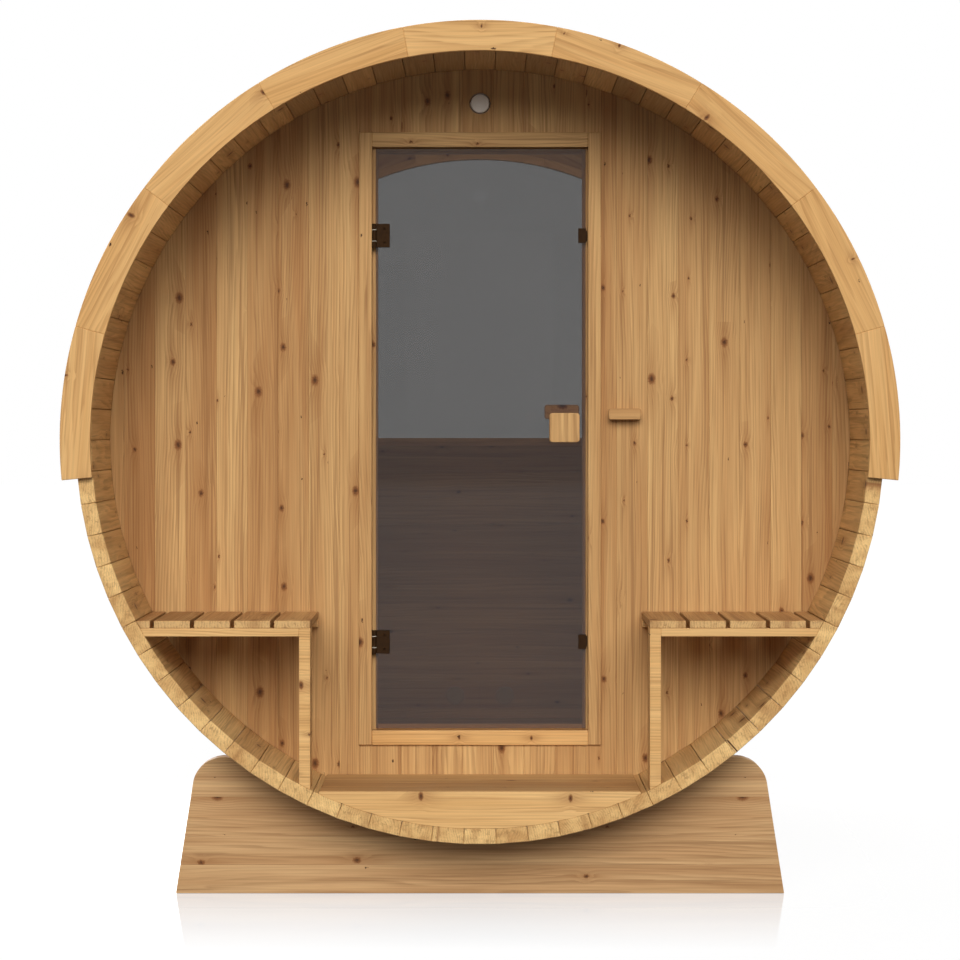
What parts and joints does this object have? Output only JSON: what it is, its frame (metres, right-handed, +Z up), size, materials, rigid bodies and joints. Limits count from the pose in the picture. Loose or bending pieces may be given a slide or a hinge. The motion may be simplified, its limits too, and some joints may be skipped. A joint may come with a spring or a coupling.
{
  "type": "barrel sauna",
  "caption": "Barrel sauna of flat staves on two cradles, with an open porch with slatted benches, a hinged glass door, a half-moon rear window and a boarded roof.",
  "frame": {"origin": "on the ground under the middle of the barrel", "axes": "+Z up; the door and porch face -Y; +X is to the right of someone facing the door; the barrel lies along Y"},
  "size_m": [2.1778, 2.2, 2.2888],
  "materials": {
    "pine": "planed and oiled knotty pine",
    "pale_pine": "planed and oiled pale pine",
    "shaded_pine": "planed and oiled pine",
    "tinted_glass": "bronze-grey tinted toughened glass",
    "bronzed_metal": "dark bronze lacquer",
    "galvanised_steel": "galvanised",
    "washer_plastic": "white nylon",
    "vent_plastic": "pale beige"
  },
  "bodies": {
    "barrel": {"front_cradle": "shaded_pine", "rear_cradle": "shaded_pine", "staves_bottom": "pine", "staves_lower_right": "pine", "staves_upper_right": "pine", "staves_top": "pine", "staves_upper_left": "pine", "staves_lower_left": "pine", "steel_bands": "galvanised_steel", "roof_left_low": "pine", "roof_left_high": "pine", "roof_right_high": "pine", "roof_right_low": "pine", "roof_ribs": "shaded_pine", "front_fascia": "pale_pine", "rear_fascia": "pale_pine", "front_wall_left": "pine", "front_wall_right": "pine", "front_wall_over_door": "pine", "front_wall_under_door": "pine", "door_jamb_left": "pine", "door_jamb_right": "pine", "door_head": "pine", "door_sill": "pine", "hinge_brackets": "bronzed_metal", "hinge_washers": "washer_plastic", "door_magnets": "bronzed_metal", "porch_floor": "pine", "floor_apron": "pale_pine", "cabin_floor": "pine", "left_bench_slats": "pine", "right_bench_slats": "pine", "bench_rails": "pale_pine", "bench_posts": "pale_pine", "rear_wall_lower": "pine", "rear_wall_arch": "pine", "rear_window_frame": "pine", "rear_window_glass": "tinted_glass", "front_vent": "vent_plastic", "rear_vents": "vent_plastic", "wall_block": "pale_pine"},
    "door": {"door_glass": "tinted_glass", "outer_handle": "pale_pine", "inner_handle": "pine", "strike_plates": "bronzed_metal", "hinge_clamps": "bronzed_metal"}
  },
  "joints": [
    {"name": "door_hinge", "type": "hinge", "parent": "barrel", "child": "door", "pos_m": [-0.2884, -0.6785, 1.2], "axis": [0, 0, -1], "range_deg": [0, 100]}
  ]
}
